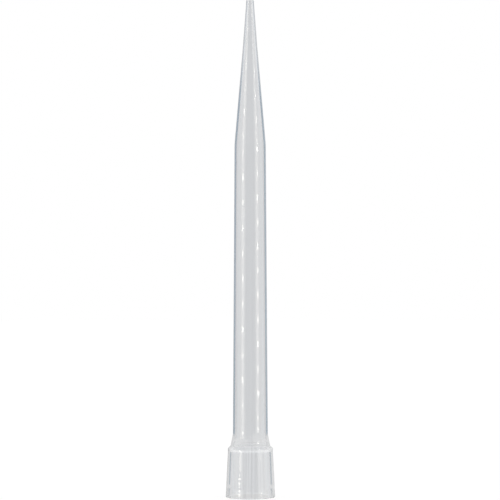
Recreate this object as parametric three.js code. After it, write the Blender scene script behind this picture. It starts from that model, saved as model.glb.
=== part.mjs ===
// Pipette tip for a 5 ml pipette: one thin-walled piece of moulded polypropylene, round about its axis.
//
// From the bottom up it has a tapered collar around the socket that the pipette's nozzle plugs into, a
// sloping shoulder, a short flare, a long body that narrows very slightly, and a cone that ends in the
// orifice. It is open all the way through, and no part of its wall is much thicker than the rest.
//
// Millimetres, +Z up. The origin is the centre of the mouth rim, and the tip stands on that rim.

import * as THREE from "three";

// Overall
const LENGTH = 150; // mouth rim to orifice
const SIDES = 48; // facets around the axis
const BLEND_STEPS = 2; // chords in a rounded corner

// Socket, inside the collar: it tapers inwards from the mouth to the seat
const SOCKET_MOUTH_D = 12.2;
const SOCKET_SEAT_D = 11.65;
const LEAD_IN = 0.22; // chamfer at the mouth, which guides the nozzle in
const SEAT_BELOW_SHOULDER = 0.75;

// Throat, from the seat up to the body's bore: a bevel, a funnel, a short ledge and a last slight flare
const SEAT_BEVEL_HEIGHT = 0.7;
const SEAT_BEVEL_STEP = 0.49; // how far its top stands in from the seat, on the radius
const FUNNEL_HEIGHT = 2.7; // with the bevel
const LEDGE_HEIGHT = 0.65;
const LEDGE_STEP = 0.2; // how far its top stands out from the bore
const LEDGE_DRAFT = 0.14; // how much it widens towards the funnel, on the radius
const LEDGE_EDGE = 0.2; // length of each of its sloping edges
const LEDGE_EDGE_STEP = 0.06; // how far each of them goes in or out, on the radius
const THROAT_FLARE_HEIGHT = 1.1;

// Collar: walls are measured across, from the socket to the outside
const COLLAR_HEIGHT = 14.67; // mouth rim to the foot of the shoulder
const LIP_WALL = 1.375; // at the rim, where the mouth turns out a little
const LIP_HEIGHT = 2.8;
const FOOT_WALL = 1.25; // on either side of the seal ring
const WAIST_WALL = 1.14;
const WAIST_BELOW_SHOULDER = 6.5;
const CROWN_WALL = 0.97; // just under the crown band

// Seal ring, a low raised band around the collar near the mouth
const RING_HEIGHT = 2.95; // rim to its lower edge
const RING_WIDTH = 1.2;
const RING_EDGE = 0.3; // length of each of its sloping edges
const RING_PROUD = 0.03;

// Crown band, the plain edge at the top of the collar
const BAND_WIDTH = 0.8;
const BAND_EDGE = 0.15; // length of its sloping lower edge
const BAND_PROUD = 0.03;

// Shoulder and flare, between the collar and the body
const SHOULDER_HEIGHT = 0.86;
const NECK_WALL = 0.82; // where the two meet, out from the funnel
const FLARE_HEIGHT = 3.4;

// Body
const BODY_BOTTOM_D = 10.57; // outside
const BODY_TOP_D = 9.44; // outside, where the cone starts
const BODY_WALL = 0.7;

// Cone, which narrows a little less steeply over its last stretch, the nose, and ends in the orifice
const CONE_HEIGHT = 43.5;
const NOSE_HEIGHT = 14; // part of the cone's height
const NOSE_D = 4.36; // outside, where the nose starts
const NOSE_WALL = 0.68;
const ORIFICE_D = 1.2; // the hole
const ORIFICE_WALL = 0.56;
const LAND_HEIGHT = 1.5; // nearly straight stretch at the orifice
const LAND_DRAFT = 0.06; // how much the land widens over its height, on the radius

// Roundings: the length that each takes from the sides of its corner
const RIM_BLEND = 0.15;
const LIP_BLEND = 0.25;
const SOFT_BLEND = 0.5;
const BREAK_BLEND = 1.0;
const ORIFICE_BLEND = 0.1;

const LOOKS = { color: 0xd3d6d9, roughness: 0.28, metalness: 0 };

// Heights that follow from the sizes above
const seatZ = COLLAR_HEIGHT - SEAT_BELOW_SHOULDER;
const waistZ = COLLAR_HEIGHT - WAIST_BELOW_SHOULDER;
const bandZ = COLLAR_HEIGHT - BAND_WIDTH;
const ringTopZ = RING_HEIGHT + RING_WIDTH;
const neckZ = COLLAR_HEIGHT + SHOULDER_HEIGHT;
const bodyFootZ = neckZ + FLARE_HEIGHT;
const bevelTopZ = seatZ + SEAT_BEVEL_HEIGHT;
const ledgeFootZ = seatZ + FUNNEL_HEIGHT;
const ledgeTopZ = ledgeFootZ + LEDGE_HEIGHT;
const boreFootZ = ledgeTopZ + THROAT_FLARE_HEIGHT;
const breakZ = LENGTH - CONE_HEIGHT;
const noseZ = LENGTH - NOSE_HEIGHT;
const landZ = LENGTH - LAND_HEIGHT;

/** Radius of the socket at height z. */
function socketRadius(z) {
  return THREE.MathUtils.mapLinear(z, 0, seatZ, SOCKET_MOUTH_D / 2, SOCKET_SEAT_D / 2);
}

/** Outside radius of the collar at height z, where its wall is this thick. */
function collarRadius(z, wall) {
  return socketRadius(z) + wall;
}

/** Outside radius of the body at height z, carried on past its ends. */
function bodyRadius(z) {
  return THREE.MathUtils.mapLinear(z, bodyFootZ, breakZ, BODY_BOTTOM_D / 2, BODY_TOP_D / 2);
}

/** Radius of the body's bore at height z, carried on past its ends. */
function boreRadius(z) {
  return bodyRadius(z) - BODY_WALL;
}

/** Radius of the funnel at height z, between the seat's bevel and the ledge. */
function funnelRadius(z) {
  const bevelRadius = SOCKET_SEAT_D / 2 - SEAT_BEVEL_STEP;
  const ledgeRadius = boreRadius(ledgeTopZ) + LEDGE_STEP + LEDGE_DRAFT;
  return THREE.MathUtils.mapLinear(z, bevelTopZ, ledgeFootZ, bevelRadius, ledgeRadius);
}

/** The outside's corners from the rim up: radius, height and rounding. */
function outsideCorners() {
  const crownRadius = collarRadius(bandZ, CROWN_WALL);
  const bandRadius = crownRadius + BAND_PROUD;
  const orificeRadius = ORIFICE_D / 2 + ORIFICE_WALL;
  return [
    [collarRadius(0, LIP_WALL), 0, LIP_BLEND],
    [collarRadius(LIP_HEIGHT, FOOT_WALL), LIP_HEIGHT, SOFT_BLEND],
    [collarRadius(RING_HEIGHT, FOOT_WALL), RING_HEIGHT, 0],
    [collarRadius(RING_HEIGHT + RING_EDGE, FOOT_WALL) + RING_PROUD, RING_HEIGHT + RING_EDGE, 0],
    [collarRadius(ringTopZ - RING_EDGE, FOOT_WALL) + RING_PROUD, ringTopZ - RING_EDGE, 0],
    [collarRadius(ringTopZ, FOOT_WALL), ringTopZ, 0],
    [collarRadius(waistZ, WAIST_WALL), waistZ, BREAK_BLEND],
    [crownRadius, bandZ - BAND_EDGE, 0],
    [bandRadius, bandZ, 0],
    [bandRadius, COLLAR_HEIGHT, RIM_BLEND],
    [funnelRadius(neckZ) + NECK_WALL, neckZ, RIM_BLEND],
    [bodyRadius(bodyFootZ), bodyFootZ, SOFT_BLEND],
    [bodyRadius(breakZ), breakZ, BREAK_BLEND],
    [NOSE_D / 2, noseZ, BREAK_BLEND],
    [orificeRadius + LAND_DRAFT, landZ, SOFT_BLEND],
    [orificeRadius, LENGTH, ORIFICE_BLEND],
  ];
}

/** The inside's corners from the orifice down: radius, height and rounding. */
function insideCorners() {
  const ledgeTopRadius = boreRadius(ledgeTopZ) + LEDGE_STEP;
  const ledgeFootRadius = funnelRadius(ledgeFootZ);
  return [
    [ORIFICE_D / 2, LENGTH, 0],
    [ORIFICE_D / 2 + LAND_DRAFT, landZ, SOFT_BLEND],
    [NOSE_D / 2 - NOSE_WALL, noseZ, BREAK_BLEND],
    [boreRadius(breakZ), breakZ, BREAK_BLEND],
    [boreRadius(boreFootZ), boreFootZ, SOFT_BLEND],
    [ledgeTopRadius, ledgeTopZ, 0],
    [ledgeTopRadius + LEDGE_EDGE_STEP, ledgeTopZ - LEDGE_EDGE, 0],
    [ledgeFootRadius - LEDGE_EDGE_STEP, ledgeFootZ + LEDGE_EDGE, 0],
    [ledgeFootRadius, ledgeFootZ, 0],
    [funnelRadius(bevelTopZ), bevelTopZ, RIM_BLEND],
    [socketRadius(seatZ), seatZ, RIM_BLEND],
    [socketRadius(LEAD_IN), LEAD_IN, 0],
    [socketRadius(LEAD_IN) + LEAD_IN, 0, 0],
  ];
}

/** A closed outline through corners of [radius, height, rounding], as points for a lathe. */
function roundedOutline(corners) {
  const points = corners.map(([radius, height]) => new THREE.Vector2(radius, height));
  const path = new THREE.Path();
  points.forEach((corner, i) => {
    const before = points.at(i - 1);
    const after = points[(i + 1) % points.length];
    const limit = 0.45 * Math.min(corner.distanceTo(before), corner.distanceTo(after));
    const rounding = Math.min(corners[i][2], limit);
    const start = corner.clone().add(before.clone().sub(corner).setLength(rounding));
    const end = corner.clone().add(after.clone().sub(corner).setLength(rounding));
    if (i === 0) {
      path.moveTo(start.x, start.y);
    } else {
      path.lineTo(start.x, start.y);
    }
    if (rounding > 0) {
      path.quadraticCurveTo(corner.x, corner.y, end.x, end.y);
    }
  });
  path.closePath();
  return path.getPoints(BLEND_STEPS);
}

/** The whole tip, turned about +Z. */
function makeTip() {
  const outline = roundedOutline([...outsideCorners(), ...insideCorners()]);
  const geometry = new THREE.LatheGeometry(outline, SIDES);
  geometry.rotateX(Math.PI / 2);
  const mesh = new THREE.Mesh(geometry, new THREE.MeshStandardMaterial(LOOKS));
  mesh.name = "tip";
  return mesh;
}

const pipetteTip = new THREE.Group();
pipetteTip.name = "pipette_tip";
pipetteTip.add(makeTip());

export default pipetteTip;
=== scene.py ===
"""Looks of a 5 ml pipette tip: one thin wall of moulded polypropylene, turned about +Z, in a white studio.

Metres, +Z up. The origin is the centre of the mouth rim, and the tip stands on that rim.
Azimuth 0 is the camera's side, towards -Y, and azimuth grows towards +X.
"""

import logging
import math
from dataclasses import dataclass, replace
from enum import Enum
from functools import cached_property
from typing import NamedTuple

import bpy
import numpy as np
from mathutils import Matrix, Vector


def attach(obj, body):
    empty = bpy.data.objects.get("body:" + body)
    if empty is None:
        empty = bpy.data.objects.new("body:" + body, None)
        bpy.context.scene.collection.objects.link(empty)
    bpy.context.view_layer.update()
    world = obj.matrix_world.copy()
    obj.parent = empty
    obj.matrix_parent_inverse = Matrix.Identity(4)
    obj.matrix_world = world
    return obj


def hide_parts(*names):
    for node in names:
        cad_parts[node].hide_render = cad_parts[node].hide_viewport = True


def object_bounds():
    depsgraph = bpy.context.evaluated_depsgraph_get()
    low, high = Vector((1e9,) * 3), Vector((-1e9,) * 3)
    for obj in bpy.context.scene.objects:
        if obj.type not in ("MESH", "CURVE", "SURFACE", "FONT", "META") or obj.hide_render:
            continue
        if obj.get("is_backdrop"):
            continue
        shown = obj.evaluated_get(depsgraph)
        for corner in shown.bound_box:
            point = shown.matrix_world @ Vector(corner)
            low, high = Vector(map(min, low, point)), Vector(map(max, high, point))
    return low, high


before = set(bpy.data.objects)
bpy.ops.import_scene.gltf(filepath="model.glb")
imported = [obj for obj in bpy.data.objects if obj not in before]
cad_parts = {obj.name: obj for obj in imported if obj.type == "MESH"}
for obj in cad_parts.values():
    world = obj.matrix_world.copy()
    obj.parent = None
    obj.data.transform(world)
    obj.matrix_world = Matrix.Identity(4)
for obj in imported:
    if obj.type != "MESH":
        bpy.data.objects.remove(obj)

LOG = logging.getLogger("pipette_tip")

Colour = tuple[float, float, float, float]
Ramp = tuple[float, float, float, float]  # where it starts, where it ends, and the results there
Curve = tuple[tuple[float, ...], tuple[float, ...]]  # places in rising order, and the results there
Socket = bpy.types.NodeSocket
Input = Socket | float | Colour

WHITE: Colour = (1.0, 1.0, 1.0, 1.0)
TINY = 1e-12  # keeps a division safe
NOISE_RANGE = (0.3, 0.7)  # almost all of a noise texture's values lie in this
DIM, BRIGHT = 0.3, 1.8  # strengths of the surroundings, as the tip's gloss shows them
FRONT_RISE = (35.0, 66.0)  # they grow from dim to bright between these azimuths, in degrees


class Side(Enum):
    """Where a lamp stands, seen from the camera. The value is the sign of its azimuth."""

    LEFT = -1.0
    RIGHT = 1.0


class Corner(NamedTuple):
    """A corner of the wall's outline. Its rounding is the length that it takes from both sides."""

    radius: float
    height: float
    rounding: float = 0.0


# ------------------------------------------------------------------ node sheets


@dataclass
class NodeSheet:
    """A node tree that is filled with short calls."""

    tree: bpy.types.NodeTree

    def add(self, kind: str, **settings: object) -> bpy.types.Node:
        """Adds a node.

        Args:
            kind: the node's type name after "ShaderNode".
            settings: the node's own settings.

        Returns:
            The new node.
        """
        node = self.tree.nodes.new("ShaderNode" + kind)
        for name, value in settings.items():
            setattr(node, name, value)
        return node

    def feed(self, socket: Socket, value: Input) -> None:
        """Links an output to a socket, or writes a plain value on it.

        Args:
            socket: the socket that takes the value.
            value: another node's output, or a plain value.
        """
        if isinstance(value, Socket):
            self.tree.links.new(value, socket)
        else:
            socket.default_value = value

    def math(self, operation: str, *values: Input) -> Socket:
        """Works out a number.

        Args:
            operation: the Math node's operation.
            values: numbers or outputs, in the order of the node's sockets.

        Returns:
            The result.
        """
        node = self.add("Math", operation=operation)
        for socket, value in zip(node.inputs, values):
            self.feed(socket, value)
        return node.outputs[0]

    def ramp(self, value: Input, low: Input, high: Input, start: float = 0.0, end: float = 1.0) -> Socket:
        """Runs smoothly from start to end while a value goes from low to high.

        Args:
            value: the number that is read.
            low: where the result is start, and stays so below.
            high: where the result is end, and stays so above.
            start: the result at low.
            end: the result at high.

        Returns:
            The result.
        """
        node = self.add("MapRange", interpolation_type="SMOOTHSTEP")
        for socket, number in zip(node.inputs, (value, low, high, start, end)):
            self.feed(socket, number)
        return node.outputs[0]

    def angle_ramp(self, angle: Input, degrees: Ramp) -> Socket:
        """Runs smoothly from one result to another while an angle grows.

        Args:
            angle: the angle, in radians.
            degrees: the ramp, whose first two numbers are in degrees.

        Returns:
            The result.
        """
        low, high, start, end = degrees
        return self.ramp(angle, math.radians(low), math.radians(high), start, end)

    def blend(self, share: Input, first: Input, second: Input) -> Socket:
        """Mixes two colours.

        Args:
            share: how much of the second colour shows.
            first: the colour at share 0.
            second: the colour at share 1.

        Returns:
            The mixed colour.
        """
        node = self.add("Mix", data_type="RGBA")
        colours = [socket for socket in node.inputs if socket.type == "RGBA"]
        self.feed(node.inputs[0], share)
        self.feed(colours[0], first)
        self.feed(colours[1], second)
        return next(socket for socket in node.outputs if socket.type == "RGBA")

    def number_mix(self, share: Input, first: Input, second: Input) -> Socket:
        """Mixes two numbers.

        Args:
            share: how much of the second number counts.
            first: the number at share 0.
            second: the number at share 1.

        Returns:
            The mixed number.
        """
        node = self.add("Mix", data_type="FLOAT")
        for socket, value in zip(node.inputs[:1] + node.inputs[2:4], (share, first, second)):
            self.feed(socket, value)
        return node.outputs[0]

    def attribute(self, name: str) -> Socket:
        """Reads a number that the mesh carries at its points."""
        return self.add("Attribute", attribute_name=name).outputs["Fac"]

    def mirrored_ray(self) -> Socket:
        """Tells rays that were only ever mirrored on their way from all others.

        Returns:
            1 for such a ray, and 0 for one that went through the tip or was scattered.
        """
        path = self.add("LightPath")
        not_through = self.math("SUBTRACT", 1.0, path.outputs["Is Transmission Ray"])
        not_scattered = self.math("LESS_THAN", path.outputs["Diffuse Depth"], 0.5)  # depths are whole numbers
        unspoilt = self.math("MULTIPLY", not_through, not_scattered)
        return self.math("MULTIPLY", path.outputs["Is Glossy Ray"], unspoilt)

    def round_and_up(self, around: float, along: float) -> Socket:
        """Lays a place on the tip out on a column, so that a texture stretches lengthwise and has no seam.

        Args:
            around: how far one radian about +Z takes the result.
            along: how far one metre up takes it.

        Returns:
            The stretched place: the direction from the axis times around, and the height times along.
        """
        place = self.add("SeparateXYZ")
        self.feed(place.inputs[0], self.add("TexCoord").outputs["Object"])
        flat = self.add("CombineXYZ")
        self.feed(flat.inputs["X"], place.outputs["X"])
        self.feed(flat.inputs["Y"], place.outputs["Y"])
        direction = self.add("VectorMath", operation="NORMALIZE")
        self.feed(direction.inputs[0], flat.outputs[0])
        ring = self.add("VectorMath", operation="SCALE")
        self.feed(ring.inputs[0], direction.outputs[0])
        self.feed(ring.inputs["Scale"], around)
        lift = self.add("CombineXYZ")
        self.feed(lift.inputs["Z"], self.math("MULTIPLY", place.outputs["Z"], along))
        total = self.add("VectorMath", operation="ADD")
        self.feed(total.inputs[0], ring.outputs[0])
        self.feed(total.inputs[1], lift.outputs[0])
        return total.outputs[0]


def empty_material(name: str) -> tuple[bpy.types.Material, NodeSheet, Socket]:
    """Makes a material with nothing but its output.

    Args:
        name: the material's name.

    Returns:
        The material, its node sheet and the socket that takes the surface.
    """
    material = bpy.data.materials.new(name)
    material.use_nodes = True
    material.node_tree.nodes.clear()
    sheet = NodeSheet(material.node_tree)
    return material, sheet, sheet.add("OutputMaterial").inputs["Surface"]


# ------------------------------------------------------------------ meshes


def grid_faces(rows: int, columns: int, rows_close: bool, columns_close: bool) -> np.ndarray:
    """Numbers the four corners of every face of a grid of points.

    Point (i, j) has the number i * columns + j. A face goes (i, j), (i, j+1), (i+1, j+1), (i+1, j).

    Args:
        rows: how many rows of points there are.
        columns: how many points a row has.
        rows_close: whether the last row joins the first.
        columns_close: whether the last column joins the first.

    Returns:
        One line of four numbers for each face.
    """
    i, j = np.meshgrid(
        np.arange(rows if rows_close else rows - 1),
        np.arange(columns if columns_close else columns - 1),
        indexing="ij",
    )
    up, along = (i + 1) % rows, (j + 1) % columns
    corners = [i * columns + j, i * columns + along, up * columns + along, up * columns + j]
    return np.stack(corners, axis=-1).reshape(-1, 4)


def mesh_object(name: str, points: np.ndarray, faces: np.ndarray) -> bpy.types.Object:
    """Puts points and four-sided faces into a smooth mesh object at the origin.

    Args:
        name: the object's name.
        points: one line of x, y, z for each point.
        faces: one line of four point numbers for each face.

    Returns:
        The object, linked to the scene.
    """
    mesh = bpy.data.meshes.new(name)
    mesh.vertices.add(len(points))
    mesh.vertices.foreach_set("co", points.astype(np.float32).ravel())
    mesh.loops.add(faces.size)
    mesh.loops.foreach_set("vertex_index", faces.astype(np.int32).ravel())
    mesh.polygons.add(len(faces))
    mesh.polygons.foreach_set("loop_start", np.arange(0, faces.size, 4, dtype=np.int32))
    mesh.polygons.foreach_set("use_smooth", np.ones(len(faces), dtype=bool))
    mesh.update(calc_edges=True)
    mesh.validate()
    made = bpy.data.objects.new(name, mesh)
    bpy.context.scene.collection.objects.link(made)
    return made


def point_attribute(made: bpy.types.Object, name: str, values: np.ndarray) -> None:
    """Stores one number for each point of a mesh, under a name that its material reads."""
    store = made.data.attributes.new(name, "FLOAT", "POINT")
    store.data.foreach_set("value", values.astype(np.float32).ravel())


def turned_away(distance: np.ndarray) -> np.ndarray:
    """How far a round surface is turned away at distance u from its axis, in radii: 1 - sqrt(1 - u^2)."""
    return 1 - np.sqrt(1 - np.clip(distance, 0, 1) ** 2)


# ------------------------------------------------------------------ finishes


@dataclass(frozen=True)
class Polypropylene:
    """Natural polypropylene out of a polished mould: clear and faintly hazy, with a painted blue-grey shade
    where the wall is seen edge-on, which stands in for the darker surroundings that the wall would show
    there.

    The wall is seen edge-on just outside the bore's outline. How far a surface is turned away, which Layer
    Weight gives, says where that is, so the mesh carries that value for its own wall.
    """

    name: str = "natural_polypropylene"
    colour: Colour = (0.918, 0.926, 0.938, 1.0)
    # painted shade: this dark blue-grey stands in for the darker surroundings that the edge-on wall shows
    edge_shade_colour: Colour = (0.24, 0.33, 0.43, 1.0)
    near_fade: tuple[float, float] = (-0.04, 0.04)  # the painted edge shade comes in over this, about where the mesh says it starts
    far_fade: tuple[float, float] = (-0.03, 0.06)  # and goes out over this, about where the mesh says it ends
    refraction: float = 1.49
    clear_share: float = 1.0
    least_roughness: float = 0.02
    most_roughness: float = 0.04
    polish_patches: float = 60.0
    line_shade: float = 0.045
    # painted light: lifts the colour, fully on the collar and a little elsewhere
    painted_light_lift: float = 0.03
    lines_around: float = 12.0
    lines_along: float = 25.0

    def make(self) -> bpy.types.Material:
        """Makes the material.

        Returns:
            The material.
        """
        material, sheet, surface = empty_material(self.name)
        plastic = sheet.add("BsdfPrincipled")
        plastic.inputs["IOR"].default_value = self.refraction
        plastic.inputs["Transmission Weight"].default_value = self.clear_share
        sheet.feed(plastic.inputs["Base Color"], self.colour_with_edge_shade(sheet))
        sheet.feed(plastic.inputs["Roughness"], self.gloss(sheet))
        sheet.feed(surface, plastic.outputs[0])
        return material

    def colour_with_edge_shade(self, sheet: NodeSheet) -> Socket:
        """Works out the colour: the plastic's own, and the painted edge shade where the wall is edge-on.

        Args:
            sheet: the material's nodes.

        Returns:
            The colour.
        """
        # painted shade where the wall is seen edge-on, placed by Layer Weight's facing
        facing = sheet.add("LayerWeight").outputs["Facing"]
        near, far = sheet.attribute("edge_shade_near"), sheet.attribute("edge_shade_far")
        near_side = sheet.ramp(facing, *(sheet.math("ADD", near, fade) for fade in self.near_fade))
        far_side = sheet.ramp(facing, *(sheet.math("ADD", far, fade) for fade in self.far_fade), 1.0, 0.0)
        between = sheet.math("MULTIPLY", near_side, far_side)
        share = sheet.math("MULTIPLY", between, sheet.attribute("edge_shade_share"))
        return sheet.blend(share, self.lined_colour_with_painted_light(sheet), self.edge_shade_colour)

    def lined_colour_with_painted_light(self, sheet: NodeSheet) -> Socket:
        """Works out the plastic's own colour, with faint lengthwise lines where the mould was polished along,
        a painted lift that lightens it most on the collar, and painted light at the rim, the ring's lower
        edge and the ledge's edges.

        Args:
            sheet: the material's nodes.

        Returns:
            The colour.
        """
        noise = sheet.add("TexNoise")
        noise.inputs["Scale"].default_value = 1.0
        noise.inputs["Detail"].default_value = 1.0
        sheet.feed(noise.inputs["Vector"], sheet.round_and_up(self.lines_around, self.lines_along))
        line = sheet.ramp(noise.outputs["Fac"], *NOISE_RANGE, -1.0, 1.0)
        # polish lines, and a painted lift of the colour that is strongest on the collar
        change = sheet.math("MULTIPLY_ADD", line, self.line_shade, self.painted_light_lift)
        light = sheet.math("MULTIPLY_ADD", change, sheet.attribute("lines_and_painted_light_share"), 1.0)
        # painted light: lighter colour at the rim, the ring's lower edge and the ledge's edges
        light = sheet.math("ADD", light, sheet.attribute("painted_light"))
        scaled = sheet.add("VectorMath", operation="SCALE")
        scaled.inputs[0].default_value = self.colour[:3]
        sheet.feed(scaled.inputs["Scale"], light)
        return scaled.outputs[0]

    def gloss(self, sheet: NodeSheet) -> Socket:
        """Works out the roughness: the mould's polish, which varies a little from place to place.

        Args:
            sheet: the material's nodes.

        Returns:
            The roughness.
        """
        noise = sheet.add("TexNoise")
        noise.inputs["Scale"].default_value = self.polish_patches
        sheet.feed(noise.inputs["Vector"], sheet.add("TexCoord").outputs["Object"])
        polish = sheet.ramp(noise.outputs["Fac"], *NOISE_RANGE, self.least_roughness, self.most_roughness)
        return sheet.math("ADD", sheet.attribute("haze"), polish)


@dataclass(frozen=True)
class StudioFloor:
    """White floor paint, which shows most of its white whatever falls on it, so that shadows stay faint.

    Seen through the tip it is as bright as the surroundings are, and a little less so under the mouth.
    """

    seen_through: float
    name: str = "studio_white"
    colour: Colour = (0.98, 0.98, 0.98, 1.0)
    plain_share: float = 0.9
    plain_strength: float = 1.03
    mouth_radius: float = 0.007
    mouth_fade: tuple[float, float] = (0.8, 1.1)  # in mouth radii
    mouth_shade: float = 0.92

    def make(self) -> bpy.types.Material:
        """Makes the material.

        Returns:
            The material.
        """
        material, sheet, surface = empty_material(self.name)
        paint = sheet.add("BsdfDiffuse")
        paint.inputs["Color"].default_value = self.colour
        plain = sheet.add("Emission")
        plain.inputs["Color"].default_value = WHITE
        path = sheet.add("LightPath")
        place = sheet.add("TexCoord").outputs["Object"]
        distance = sheet.add("VectorMath", operation="LENGTH")
        sheet.feed(distance.inputs[0], place)
        fade = (share * self.mouth_radius for share in self.mouth_fade)
        shade = sheet.ramp(distance.outputs["Value"], *fade, self.mouth_shade, 1.0)
        shaded = sheet.math("MULTIPLY", shade, self.seen_through)
        through = path.outputs["Is Transmission Ray"]
        strength = sheet.number_mix(through, self.plain_strength, shaded)
        sheet.feed(plain.inputs["Strength"], strength)
        share = sheet.math("MULTIPLY", path.outputs["Is Camera Ray"], self.plain_share)
        mixed = sheet.add("MixShader")
        sheet.feed(mixed.inputs[0], sheet.math("MAXIMUM", share, through))
        sheet.feed(mixed.inputs[1], paint.outputs[0])
        sheet.feed(mixed.inputs[2], plain.outputs[0])
        sheet.feed(surface, mixed.outputs[0])
        material.cycles.emission_sampling = "NONE"
        return material


@dataclass(frozen=True)
class LampGlow:
    """The light of a strip lamp or card: a soft glow up its middle, and in it a row of brighter lamps.

    It reads the lamp's own UV map: U is the azimuth in degrees, and V the height counted in lamps. Away from
    its middle it is as bright as the surroundings are beside it, which grow brighter away from the camera.
    """

    beside: tuple[float, float] = FRONT_RISE
    glow_middle: float = 50.7
    glow: float = 3.2
    glow_reach: float = 23.0
    glow_from: float = -100.0  # far below any lamp, so the glow starts at the lamp's foot
    lamp_middle: float = 54.6
    lamp: float = 9.0
    lamp_reach: float = 7.0
    lamp_half_height: float = 0.13
    lamp_fade: tuple[float, float] = (0.3, 1.4)  # by the distance from a lamp's middle, squared
    lamps_until: float = 13.0
    fade: float = 2.0
    lamps_above: float = 0.8
    lamps_end: float = 19.5
    end_fade: float = 0.5
    weak_share: float = 0.65
    lean: float = 0.005
    colour: Colour = (1.0, 0.96, 0.89, 1.0)

    def make(self, name: str) -> bpy.types.Material:
        """Makes the material.

        Args:
            name: the material's name.

        Returns:
            The material.
        """
        material, sheet, surface = empty_material(name)
        place = sheet.add("SeparateXYZ")
        sheet.feed(place.inputs[0], sheet.add("TexCoord").outputs["UV"])
        azimuth, up = place.outputs["X"], place.outputs["Y"]
        across = sheet.math("SUBTRACT", azimuth, self.glow_middle)
        glow = sheet.ramp(sheet.math("ABSOLUTE", across), 0.0, self.glow_reach, self.glow, 0.0)
        glow = sheet.math("MULTIPLY", glow, sheet.ramp(up, self.glow_from, self.glow_from + self.fade))
        beside = sheet.ramp(azimuth, *self.beside, DIM, BRIGHT)
        total = sheet.math("ADD", sheet.math("ADD", glow, beside), self.lamps(sheet, azimuth, up))
        light = sheet.add("Emission")
        light.inputs["Color"].default_value = self.colour
        sheet.feed(light.inputs["Strength"], total)
        shown = sheet.add("MixShader")
        sheet.feed(shown.inputs[0], sheet.mirrored_ray())
        sheet.feed(shown.inputs[1], sheet.add("BsdfTransparent").outputs[0])
        sheet.feed(shown.inputs[2], light.outputs[0])
        sheet.feed(surface, shown.outputs[0])
        material.cycles.emission_sampling = "NONE"
        return material

    def lamps(self, sheet: NodeSheet, azimuth: Socket, up: Socket) -> Socket:
        """Works out the row of lamps: soft ovals that lean a little, one to each step of V.

        Every second one is weaker, all of them are weaker from some height up, and further up the row ends.

        Args:
            sheet: the material's nodes.
            azimuth: degrees from the camera's side.
            up: the height counted in lamps.

        Returns:
            What the lamps add to the light's strength.
        """
        across = sheet.math("SUBTRACT", azimuth, self.lamp_middle)
        leaning = sheet.math("MULTIPLY_ADD", across, self.lean, up)
        step = sheet.math("SUBTRACT", sheet.math("FRACT", leaning), 0.5)
        across_share = sheet.math("DIVIDE", across, self.lamp_reach)
        up_share = sheet.math("DIVIDE", step, self.lamp_half_height)
        away = sheet.math("ADD", sheet.math("POWER", across_share, 2.0), sheet.math("POWER", up_share, 2.0))
        lamps = sheet.ramp(away, *self.lamp_fade, self.lamp, 0.0)
        second = sheet.math("GREATER_THAN", sheet.math("FRACT", sheet.math("MULTIPLY", leaning, 0.5)), 0.5)
        share = sheet.math("MULTIPLY_ADD", second, self.weak_share - 1.0, 1.0)
        upper = sheet.ramp(up, self.lamps_until, self.lamps_until + self.fade, 1.0, self.lamps_above)
        share = sheet.math("MULTIPLY", share, upper)
        end = sheet.ramp(up, self.lamps_end, self.lamps_end + self.end_fade, 1.0, 0.0)
        share = sheet.math("MULTIPLY", share, end)
        return sheet.math("MULTIPLY", lamps, share)


SHORT_ROW = LampGlow(fade=0.1, lamps_above=0.0, weak_share=1.0)  # all alike, and none above lamps_until


# ------------------------------------------------------------------ the tip


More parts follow.
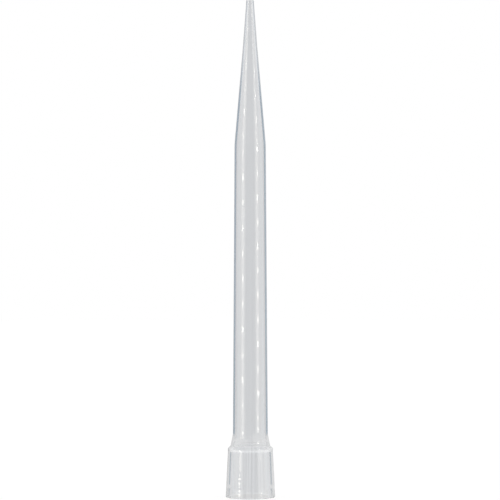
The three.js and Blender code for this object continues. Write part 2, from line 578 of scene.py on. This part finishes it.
@dataclass
class PipetteTip:
    """The whole tip, one moulded piece: collar, shoulder, flare, body and cone around one bore.

    Walls are measured across, from the socket or bore to the outside.
    """

    length: float = 0.150

    # Socket and throat
    socket_mouth_diameter: float = 0.0122
    socket_seat_diameter: float = 0.01165
    lead_in: float = 0.00022
    seat_below_shoulder: float = 0.00075
    seat_bevel_height: float = 0.0007
    seat_bevel_step: float = 0.00049
    funnel_height: float = 0.0027
    ledge_height: float = 0.00065
    ledge_step: float = 0.0002
    ledge_draft: float = 0.00014
    ledge_edge: float = 0.0002
    ledge_edge_step: float = 0.00006
    throat_flare_height: float = 0.0011

    # Collar, with its seal ring and its crown band
    collar_height: float = 0.01467
    lip_wall: float = 0.00137
    lip_height: float = 0.0028
    foot_wall: float = 0.00125
    waist_wall: float = 0.00114
    waist_below_shoulder: float = 0.0065
    crown_wall: float = 0.00097
    ring_height: float = 0.00295
    ring_width: float = 0.0012
    ring_edge: float = 0.0003
    ring_proud: float = 0.00003
    band_width: float = 0.0008
    band_edge: float = 0.00015
    band_proud: float = 0.00003

    # Shoulder, flare and body
    shoulder_height: float = 0.00086
    neck_wall: float = 0.00082
    flare_height: float = 0.0034
    body_bottom_diameter: float = 0.01057
    body_top_diameter: float = 0.00944
    body_wall: float = 0.0007

    # Cone, nose and orifice
    cone_height: float = 0.0435
    nose_height: float = 0.014
    nose_diameter: float = 0.00436
    nose_wall: float = 0.00068
    orifice_diameter: float = 0.0012
    orifice_wall: float = 0.00056
    land_height: float = 0.0015
    land_draft: float = 0.00006

    # Roundings, and how finely the outline is cut
    rim_blend: float = 0.00015
    lip_blend: float = 0.00025
    soft_blend: float = 0.0005
    break_blend: float = 0.001
    orifice_blend: float = 0.0001
    blend_limit: float = 0.45  # the share of a side that one rounding may take
    around: int = 288
    blend_points: int = 6
    longest_step: float = 0.005
    end_step: float = 0.00006
    end_limit: float = 0.25  # the share of a stretch that its end step may take

    # The painted edge shade, a dark colour in place of darker surroundings: distances from the axis are
    # counted in outside radii
    edge_shade_out: float = 0.02  # it starts this far outside the bore's outline
    edge_shade_inwards: tuple[float, float] = (-0.006, 0.024)  # and on the collar this much less, at mouth and seat
    edge_shade_across: float = 0.043  # how wide it is below the neck
    body_fade: float = 0.0005  # it comes in at the body's foot, over this much on either side
    seat_fade: float = 0.0001  # it goes out just below the seat
    upright_from: float = 0.97  # it shows only where the outline rises more steeply than this
    upright_fade: float = 0.02
    slim_share: Ramp = (0.03, 0.015, 1.0, 0.4)  # its share on the cone, by the distance below the orifice
    foot_share: Curve = ((0.0004, 0.001, 0.002, 0.005), (0.0, 0.4, 0.65, 0.8))  # on the collar, by the height

    # Places with painted light, hazier places and lined places
    # painted light: the colour is made lighter at the rim, on the ring's lower edge and on the ledge's edges
    rim_painted_light: float = 0.02
    rim_reach: tuple[float, float] = (0.0002, 0.001)
    ring_painted_light: float = 0.02
    ledge_painted_light: float = 0.08
    rim_haze: float = 0.17
    haze_reach: tuple[float, float] = (2.0, 3.0)  # counted in heights of the lead-in
    lines_below_seat: float = 0.001  # the polish lines and the painted lift fade from this far below the seat
    lines_above_flare: float = 0.002  # to this far above the flare
    # the share of the polish lines and of the painted lift that is left above the flare
    lines_and_painted_lift_left: float = 0.15
    finish: Polypropylene = Polypropylene()

    @cached_property
    def seat(self) -> float:
        """Height of the socket's inner end."""
        return self.collar_height - self.seat_below_shoulder

    @cached_property
    def bevel_top(self) -> float:
        """Height where the seat's bevel meets the funnel."""
        return self.seat + self.seat_bevel_height

    @cached_property
    def neck(self) -> float:
        """Height of the shoulder's top."""
        return self.collar_height + self.shoulder_height

    @cached_property
    def body_foot(self) -> float:
        """Height where the flare runs out into the body."""
        return self.neck + self.flare_height

    @cached_property
    def ledge_foot(self) -> float:
        """Height of the throat ledge's lower end."""
        return self.seat + self.funnel_height

    @cached_property
    def ledge_top(self) -> float:
        """Height of the throat ledge's upper end."""
        return self.ledge_foot + self.ledge_height

    @cached_property
    def body_top(self) -> float:
        """Height where the cone starts."""
        return self.length - self.cone_height

    def socket_radius(self, height: float) -> float:
        """Radius of the socket: a straight taper from mouth to seat."""
        mouth, seat = self.socket_mouth_diameter / 2, self.socket_seat_diameter / 2
        return mouth + (seat - mouth) * height / self.seat

    def body_radius(self, height: float) -> float:
        """Outside radius of the body: a straight taper, carried on past its ends."""
        share = (height - self.body_foot) / (self.body_top - self.body_foot)
        return (self.body_bottom_diameter + (self.body_top_diameter - self.body_bottom_diameter) * share) / 2

    def bore_radius(self, height: float) -> float:
        """Radius of the body's bore, carried on past its ends."""
        return self.body_radius(height) - self.body_wall

    def funnel_radius(self, height: float) -> float:
        """Works out the radius of the funnel: a straight taper from the top of the seat's bevel to the ledge.

        Args:
            height: height over the mouth rim.

        Returns:
            The radius there.
        """
        ledge_radius = self.bore_radius(self.ledge_top) + self.ledge_step + self.ledge_draft
        foot_radius = self.socket_seat_diameter / 2 - self.seat_bevel_step
        share = (height - self.seat - self.seat_bevel_height) / (self.funnel_height - self.seat_bevel_height)
        return foot_radius + (ledge_radius - foot_radius) * share

    def collar_corner(self, height: float, wall: float, rounding: float) -> Corner:
        """Makes a corner on the collar's outside, where the wall around the socket is this thick."""
        return Corner(self.socket_radius(height) + wall, height, rounding)

    def outside_corners(self) -> list[Corner]:
        """Lists the outside's corners.

        Returns:
            The corners from the rim up.
        """
        waist = self.collar_height - self.waist_below_shoulder
        band = self.collar_height - self.band_width
        band_blend = self.band_edge / 4
        ring_top = self.ring_height + self.ring_width
        ring_wall = self.foot_wall + self.ring_proud
        ring_blend = self.ring_edge / 2
        crown = self.socket_radius(band) + self.crown_wall
        nose = self.length - self.nose_height
        land = self.length - self.land_height
        orifice = self.orifice_diameter / 2 + self.orifice_wall
        return [
            self.collar_corner(0, self.lip_wall, self.lip_blend),
            self.collar_corner(self.lip_height, self.foot_wall, self.soft_blend),
            self.collar_corner(self.ring_height, self.foot_wall, ring_blend),
            self.collar_corner(self.ring_height + self.ring_edge, ring_wall, ring_blend),
            self.collar_corner(ring_top - self.ring_edge, ring_wall, ring_blend),
            self.collar_corner(ring_top, self.foot_wall, ring_blend),
            self.collar_corner(waist, self.waist_wall, self.break_blend),
            Corner(crown, band - self.band_edge, band_blend),
            Corner(crown + self.band_proud, band, band_blend),
            Corner(crown + self.band_proud, self.collar_height, self.rim_blend),
            Corner(self.funnel_radius(self.neck) + self.neck_wall, self.neck, self.rim_blend),
            Corner(self.body_radius(self.body_foot), self.body_foot, self.soft_blend),
            Corner(self.body_radius(self.body_top), self.body_top, self.break_blend),
            Corner(self.nose_diameter / 2, nose, self.break_blend),
            Corner(orifice + self.land_draft, land, self.soft_blend),
            Corner(orifice, self.length, self.orifice_blend),
        ]

    def inside_corners(self) -> list[Corner]:
        """Lists the inside's corners.

        Returns:
            The corners from the orifice down.
        """
        bore_foot = self.ledge_top + self.throat_flare_height
        nose = self.length - self.nose_height
        land = self.length - self.land_height
        hole = self.orifice_diameter / 2
        lead_in_radius = self.socket_radius(self.lead_in)
        ledge = self.bore_radius(self.ledge_top) + self.ledge_step
        funnel = self.funnel_radius(self.ledge_foot)
        ledge_blend = self.ledge_edge / 4
        seat_blend = self.rim_blend / 3
        return [
            Corner(hole, self.length, self.orifice_blend),
            Corner(hole + self.land_draft, land, self.soft_blend),
            Corner(self.nose_diameter / 2 - self.nose_wall, nose, self.break_blend),
            Corner(self.bore_radius(self.body_top), self.body_top, self.break_blend),
            Corner(self.bore_radius(bore_foot), bore_foot, self.soft_blend),
            Corner(ledge, self.ledge_top, ledge_blend),
            Corner(ledge + self.ledge_edge_step, self.ledge_top - self.ledge_edge, ledge_blend),
            Corner(funnel - self.ledge_edge_step, self.ledge_foot + self.ledge_edge, ledge_blend),
            Corner(funnel, self.ledge_foot, ledge_blend),
            Corner(self.funnel_radius(self.bevel_top), self.bevel_top, self.rim_blend),
            Corner(self.socket_radius(self.seat), self.seat, seat_blend),
            Corner(lead_in_radius, self.lead_in, self.orifice_blend),
            Corner(lead_in_radius + self.lead_in, 0, self.orifice_blend),
        ]

    def outline(self) -> np.ndarray:
        """Rounds the wall's closed outline and spaces points along it.

        A rounding is the curve (1-t)^2 start + 2t(1-t) corner + t^2 end, with start and end on the corner's
        two sides. Straight stretches between roundings are cut into steps, none over the longest step.

        Returns:
            One line of radius and height for each point, from the rim up the outside and down the bore.
        """
        corners = [*self.outside_corners(), *self.inside_corners()]
        places = np.array([[corner.radius, corner.height] for corner in corners])
        before = np.roll(places, 1, axis=0) - places
        after = np.roll(places, -1, axis=0) - places
        to_before = np.linalg.norm(before, axis=1, keepdims=True)
        to_after = np.linalg.norm(after, axis=1, keepdims=True)
        most = self.blend_limit * np.minimum(to_before, to_after)
        rounding = np.minimum(np.array([[corner.rounding] for corner in corners]), most)
        starts = places + before / to_before * rounding
        ends = places + after / to_after * rounding
        t = np.linspace(0, 1, self.blend_points)[None, :, None]
        curves = (1 - t) ** 2 * starts[:, None] + 2 * t * (1 - t) * places[:, None] + t**2 * ends[:, None]
        stretches = [
            np.concatenate([curve, self.straight(curve[-1], following[0])])
            for curve, following in zip(curves, np.roll(curves, -1, axis=0))
        ]
        return np.concatenate(stretches)

    def straight(self, start: np.ndarray, end: np.ndarray) -> np.ndarray:
        """Spaces points between two ends: one close to each end, and the rest evenly between those two.

        The close ones keep the rounding's shading out of the straight stretch.

        Args:
            start: radius and height where the stretch starts.
            end: radius and height where it ends.

        Returns:
            The points between the ends, without the ends themselves.
        """
        length = float(np.linalg.norm(end - start))
        near_end = min(self.end_step / length, self.end_limit)
        steps = math.ceil(length / self.longest_step)
        share = np.linspace(near_end, 1 - near_end, steps + 1)[:, None]
        return start + (end - start) * share

    def build(self) -> bpy.types.Object:
        """Turns the outline about +Z: x = r cos a, y = r sin a, z = height, for a full turn of a.

        Returns:
            The tip's mesh object.
        """
        outline = self.outline()
        turn = np.linspace(0, 2 * np.pi, self.around, endpoint=False)
        radius, height = outline[:, 0, None], outline[:, 1, None]
        points = np.stack(
            [radius * np.cos(turn), radius * np.sin(turn), height + np.zeros_like(turn)], axis=-1
        ).reshape(-1, 3)
        faces = grid_faces(len(outline), self.around, rows_close=True, columns_close=True)
        made = mesh_object("tip_wall", points, faces)
        outside = np.arange(len(outline)) <= int(np.argmax(outline[:, 1]))
        marks = self.edge_shade_marks(outline, outside) | self.surface_marks(outline[:, 1], outside)
        for name, values in marks.items():
            point_attribute(made, name, np.repeat(values, self.around))
        return made

    def edge_shade_marks(self, outline: np.ndarray, outside: np.ndarray) -> dict[str, np.ndarray]:
        """Works out where the wall is seen edge-on, and how much of the painted edge shade shows there.

        A line of sight that passes the axis at a distance u, counted in outside radii, meets the outside
        turned away by 1 - sqrt(1 - u^2). The wall is edge-on where u is a little more than bore over outside
        radius.

        Args:
            outline: one line of radius and height for each point.
            outside: whether each point lies on the outside.

        Returns:
            Where the painted edge shade starts and ends, and its share, with one number for each point.
        """
        # painted edge shade: where it starts and ends on the wall, and how much of it shows
        radius, height = outline[:, 0], outline[:, 1]
        bore = np.interp(height, height[~outside][::-1], radius[~outside][::-1])
        body = np.interp(height, [self.body_foot - self.body_fade, self.body_foot + self.body_fade], [0, 1])
        collar = np.interp(height, [self.seat - self.seat_fade, self.seat], [1, 0])
        inwards = np.interp(height, [0, self.seat], self.edge_shade_inwards) * collar
        near = bore / radius + self.edge_shade_out - inwards
        far = np.where(height < self.neck, near + self.edge_shade_across, 1.0)
        slope = np.gradient(outline, axis=0)
        upright = np.abs(slope[:, 1]) / np.maximum(np.linalg.norm(slope, axis=1), TINY)
        plain = np.clip((upright - self.upright_from) / self.upright_fade, 0, 1)
        slim = np.interp(height, self.length - np.array(self.slim_share[:2]), self.slim_share[2:])
        foot = np.interp(height, *self.foot_share)
        on_ring = (height > self.ring_height) & (height < self.ring_height + self.ring_width)
        share = outside * plain * (body * slim + collar * foot * ~on_ring)
        return {"edge_shade_near": turned_away(near), "edge_shade_far": turned_away(far), "edge_shade_share": share}

    def surface_marks(self, height: np.ndarray, outside: np.ndarray) -> dict[str, np.ndarray]:
        """Works out where the wall is lined, painted lighter or hazier.

        Painted light goes on the rim, the ring's lower edge and the ledge's two sloping edges. Hazier is the
        lead-in.

        Args:
            height: the height of each point of the outline.
            outside: whether each point lies on the outside.

        Returns:
            The three marks, with one number for each point.
        """
        lines_end = [self.seat - self.lines_below_seat, self.body_foot + self.lines_above_flare]
        on_foot = (height >= self.ledge_foot) & (height <= self.ledge_foot + self.ledge_edge)
        on_top = (height >= self.ledge_top - self.ledge_edge) & (height <= self.ledge_top)
        on_ring = (height >= self.ring_height) & (height <= self.ring_height + self.ring_edge)
        # painted light: lighter colour at the rim, on the ring's lower edge and on the ledge's edges
        at_rim = np.interp(height, self.rim_reach, [self.rim_painted_light, 0])
        painted_light = np.where(~outside & (on_foot | on_top), self.ledge_painted_light, at_rim)
        haze_end = [share * self.lead_in for share in self.haze_reach]
        return {
            "lines_and_painted_light_share": np.interp(height, lines_end, [1, self.lines_and_painted_lift_left]),
            "painted_light": np.where(outside & on_ring, self.ring_painted_light, painted_light),
            "haze": ~outside * np.interp(height, haze_end, [self.rim_haze, 0]),
        }

    def place(self) -> bpy.types.Object:
        """Builds the tip, dresses it and sets it in the frame in place of the plain one.

        Returns:
            The finished piece.
        """
        made = self.build()
        made.data.materials.append(self.finish.make())
        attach(made, "root")
        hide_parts("tip")
        return made


# ------------------------------------------------------------------ the studio


@dataclass(frozen=True)
class StripLamp:
    """A curved screen of light, which only the tip's own gloss shows.

    Two are tall strip lamps that stand beside the camera. The others are short cards close to the tip.
    """

    name: str
    side: Side
    light: LampGlow
    pitch: float  # height from one lamp to the next
    first: float  # height where the first one starts
    distance: float
    bottom: float = -0.012
    top: float = 0.28
    near_edge: float = 25.0  # azimuth of the edge towards the camera, in degrees
    far_edge: float = 75.0
    columns: int = 13
    rows: int = 3

    def build(self) -> bpy.types.Object:
        """Bends a grid round the tip's axis: x = d sin a, y = -d cos a, z from bottom to top, for azimuth a.

        Returns:
            The screen's mesh object.
        """
        degrees = np.linspace(self.near_edge, self.far_edge, self.columns)
        azimuth = np.radians(degrees) * self.side.value
        height, turn = np.meshgrid(np.linspace(self.bottom, self.top, self.rows), azimuth, indexing="ij")
        points = np.stack([self.distance * np.sin(turn), -self.distance * np.cos(turn), height], axis=-1)
        faces = grid_faces(self.rows, self.columns, rows_close=False, columns_close=False)
        made = mesh_object(self.name, points.reshape(-1, 3), faces)
        corner_points = faces.ravel()
        lamps = (height.ravel() - self.first) / self.pitch
        uv = np.stack([np.tile(degrees, self.rows), lamps], axis=-1)[corner_points]
        made.data.uv_layers.new(name="lamps").data.foreach_set("uv", uv.astype(np.float32).ravel())
        made.data.materials.append(self.light.make(self.name + "_glow"))
        return made

    def place(self) -> bpy.types.Object:
        """Builds the screen and keeps it out of all but gloss.

        Returns:
            The screen's mesh object.
        """
        made = self.build()
        made.visible_camera = False
        made.visible_diffuse = False
        made.visible_transmission = False
        made.visible_shadow = False
        made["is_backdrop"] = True
        return made


def foot_cards() -> list[StripLamp]:
    """Sets out the cards beside the collar.

    Returns:
        The left card, the right card, and the low one that the right side of the lip shows.
    """
    beside = (25.0, 41.0)
    left = replace(
        SHORT_ROW, beside=beside, glow_middle=48.5, glow=4.5, glow_reach=9.0, glow_from=5.0, fade=1.0,
        lamp_middle=50.0, lamp=9.0, lamp_reach=5.5, lamp_half_height=0.33, lamps_until=4.0, lean=0.012,
    )
    right = LampGlow(beside=beside, glow_middle=47.5, glow=1.6, glow_reach=7.0, glow_from=7.0, lamp=0.0)
    by_lip = replace(
        SHORT_ROW, beside=(21.0, 35.0), glow=0.0, lamp_middle=41.7, lamp=7.0, lamp_reach=2.6,
        lamp_half_height=0.3, lamps_until=2.0,
    )
    card = StripLamp(
        "foot_lamp_left", Side.LEFT, left, pitch=0.001347, first=0.00014, distance=0.045, bottom=-0.001,
        top=0.02252,
    )
    lip_card = StripLamp(
        "lip_lamp_right", Side.RIGHT, by_lip, pitch=0.00087, first=0.00039, distance=0.0165, bottom=-0.0003,
        top=0.00232, near_edge=16.0,
    )
    return [card, replace(card, name="foot_lamp_right", side=Side.RIGHT, light=right), lip_card]


def neck_cards() -> list[StripLamp]:
    """Sets out the cards beside the flare, and the screens close to the neck.

    Returns:
        The left and right cards, and the left and right screens.
    """
    flare = replace(SHORT_ROW, beside=(30.0, 60.0), lamp_half_height=0.17)
    left = replace(flare, glow_middle=45.5, lamp_middle=48.5, lamps_until=1.0, lamp=6.0)
    right = replace(
        flare, glow_middle=42.5, glow=3.4, glow_reach=17.0, lamp_middle=48.0, lamps_until=2.0, lamp=4.5
    )
    card = StripLamp(
        "neck_lamp_left", Side.LEFT, left, pitch=0.003553, first=0.01614, distance=0.025, bottom=0.01676,
        top=0.02576,
    )
    neck = replace(SHORT_ROW, beside=(23.5, 45.0), glow_middle=21.0, glow=1.6, glow_reach=16.0)
    left_neck = replace(neck, lamp=0.0)
    right_neck = replace(
        neck, lamp_middle=33.4, lamps_until=1.0, lamp=9.0, lamp_reach=3.0, lamp_half_height=0.2
    )
    screen = StripLamp(
        "neck_screen_left", Side.LEFT, left_neck, pitch=0.002, first=0.01676, distance=0.0085,
        bottom=0.01566, top=0.01886, near_edge=4.0,
    )
    return [
        card,
        replace(card, name="neck_lamp_right", side=Side.RIGHT, light=right, first=0.01749),
        screen,
        replace(screen, name="neck_screen_right", side=Side.RIGHT, light=right_neck, top=0.01946),
    ]


def all_lamps() -> list[StripLamp]:
    """Sets out the two tall strip lamps, and the cards.

    Returns:
        The lamps and cards.
    """
    right = LampGlow(glow_middle=47.0, glow_reach=20.0, lamp_middle=53.6, lamp=11.0, weak_share=0.7)
    return [
        StripLamp("strip_lamp_left", Side.LEFT, LampGlow(), pitch=0.010782, first=-0.00495, distance=0.2556),
        StripLamp("strip_lamp_right", Side.RIGHT, right, pitch=0.01084, first=-0.01276, distance=0.2889),
        *foot_cards(),
        *neck_cards(),
    ]


@dataclass
class Studio:
    """Everything around the tip but the lamps: floor, surroundings and camera.

    Ramps by azimuth or by rise over the horizon start with two angles in degrees.
    """

    floor_rings: tuple[float, ...] = (0.0001, 0.02, 0.1, 0.5, 1.5)
    around: int = 96  # points in a ring
    camera_distance: float = 0.6
    camera_share_of_height: float = 0.4972
    frame_width: float = 0.15108  # what the picture's width takes in at the tip
    sensor_width: float = 36.0
    camera_aside: float = -0.0005  # as a share of the picture's width
    camera_roll: float = 0.0008  # in radians
    back_rise: Ramp = (118.0, 140.0, DIM, 0.72)  # strength behind the tip
    to_back: Ramp = (96.0, 116.0, 0.0, 1.0)  # how much the strength behind the tip counts
    left_dip: Ramp = (-95.0, -76.0, 0.75, 1.0)  # how much of its strength the left side keeps
    steep: Ramp = (14.0, 28.0, 0.0, 1.0)  # how much the strength far up and far down counts
    steep_strength: float = 1.1
    seen_through: float = 0.738
    above: Ramp = (7.3, 8.2, 1.0, 1.2)  # how much brighter they are up there, seen through the tip
    crossings: int = 400  # how often light may be bent or mirrored

    def place_floor(self) -> bpy.types.Object:
        """Lays a round floor under the tip, in rings: x = r cos a, y = r sin a, z = 0.

        Returns:
            The floor's mesh object.
        """
        radii = np.array(self.floor_rings)
        turn = np.linspace(0, 2 * np.pi, self.around, endpoint=False)
        flat = np.stack([radii[:, None] * np.cos(turn), radii[:, None] * np.sin(turn)], axis=-1)
        points = np.concatenate([flat, np.zeros_like(flat[..., :1])], axis=-1).reshape(-1, 3)
        faces = grid_faces(len(radii), self.around, rows_close=False, columns_close=True)[:, ::-1]
        made = mesh_object("studio_floor", points, faces)
        made.data.materials.append(StudioFloor(self.seen_through).make())
        made.visible_glossy = False
        made.visible_shadow = False
        made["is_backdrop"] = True
        return made

    def place_surroundings(self) -> bpy.types.World:
        """Makes the white surroundings.

        The camera sees them plain white. Seen through the tip they are darker, and a little less so high up.
        The tip's gloss shows them dim around the camera, bright at the sides, and dim again towards the back,
        which is brighter in its middle.

        Returns:
            The world.
        """
        world = bpy.data.worlds.new("white_studio")
        bpy.context.scene.world = world
        world.use_nodes = True
        world.cycles.sampling_method = "NONE"
        world.node_tree.nodes.clear()
        sheet = NodeSheet(world.node_tree)
        output = sheet.add("OutputWorld")
        place = sheet.add("SeparateXYZ")
        sheet.feed(place.inputs[0], sheet.add("TexCoord").outputs["Generated"])
        backwards = sheet.math("MULTIPLY", place.outputs["Y"], -1.0)
        turn = sheet.math("ARCTAN2", place.outputs["X"], backwards)
        azimuth = sheet.math("ABSOLUTE", turn)
        front = sheet.ramp(sheet.math("DEGREES", azimuth), *FRONT_RISE, DIM, BRIGHT)
        back = sheet.angle_ramp(azimuth, self.back_rise)
        level = sheet.number_mix(sheet.angle_ramp(azimuth, self.to_back), front, back)
        level = sheet.math("MULTIPLY", level, sheet.angle_ramp(turn, self.left_dip))
        rise = sheet.math("ARCSINE", place.outputs["Z"])
        steep = sheet.angle_ramp(sheet.math("ABSOLUTE", rise), self.steep)
        mirrored = sheet.number_mix(steep, level, self.steep_strength)
        low, high, *shares = self.above
        through = sheet.angle_ramp(rise, (low, high, *(share * self.seen_through for share in shares)))
        path = sheet.add("LightPath")
        background = sheet.add("Background")
        background.inputs["Color"].default_value = WHITE
        strength = sheet.number_mix(sheet.mirrored_ray(), through, mirrored)
        strength = sheet.number_mix(path.outputs["Is Camera Ray"], strength, 1.0)
        sheet.feed(background.inputs["Strength"], strength)
        sheet.feed(output.inputs["Surface"], background.outputs[0])
        return world

    def place_camera(self, low: np.ndarray, high: np.ndarray) -> bpy.types.Object:
        """Sets the camera level, square on to the tip.

        Args:
            low: the tip's lowest corner.
            high: its highest corner.

        Returns:
            The camera.
        """
        lens = bpy.data.cameras.new("studio_camera")
        lens.sensor_width = self.sensor_width
        lens.lens = self.sensor_width * self.camera_distance / self.frame_width
        lens.shift_x = self.camera_aside
        camera = bpy.data.objects.new("studio_camera", lens)
        bpy.context.scene.collection.objects.link(camera)
        height = low[2] + (high[2] - low[2]) * self.camera_share_of_height
        camera.location = (0, -self.camera_distance, height)
        camera.rotation_euler = (math.pi / 2, self.camera_roll, 0)
        bpy.context.scene.camera = camera
        return camera

    def set_view(self) -> None:
        """Shows colours as they are, and lets light cross the thin wall as often as it needs."""
        scene = bpy.context.scene
        scene.view_settings.view_transform = "Standard"
        scene.cycles.max_bounces = self.crossings
        scene.cycles.transmission_bounces = self.crossings
        scene.cycles.glossy_bounces = self.crossings


def main() -> None:
    """Builds the studio, the lamps and the tip."""
    logging.basicConfig(level=logging.INFO, format="%(name)s: %(message)s")
    cad_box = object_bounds()
    low, high = (np.array(corner) for corner in cad_box)
    studio = Studio()
    studio.set_view()
    LOG.info("camera %s", studio.place_camera(low, high).name)
    LOG.info("surroundings %s", studio.place_surroundings().name)
    LOG.info("floor %s", studio.place_floor().name)
    for lamp in all_lamps():
        LOG.info("lamp %s", lamp.place().name)
    tip = PipetteTip().place()
    LOG.info("piece %s: %d faces", tip.name, len(tip.data.polygons))


if __name__ == "__main__":
    main()
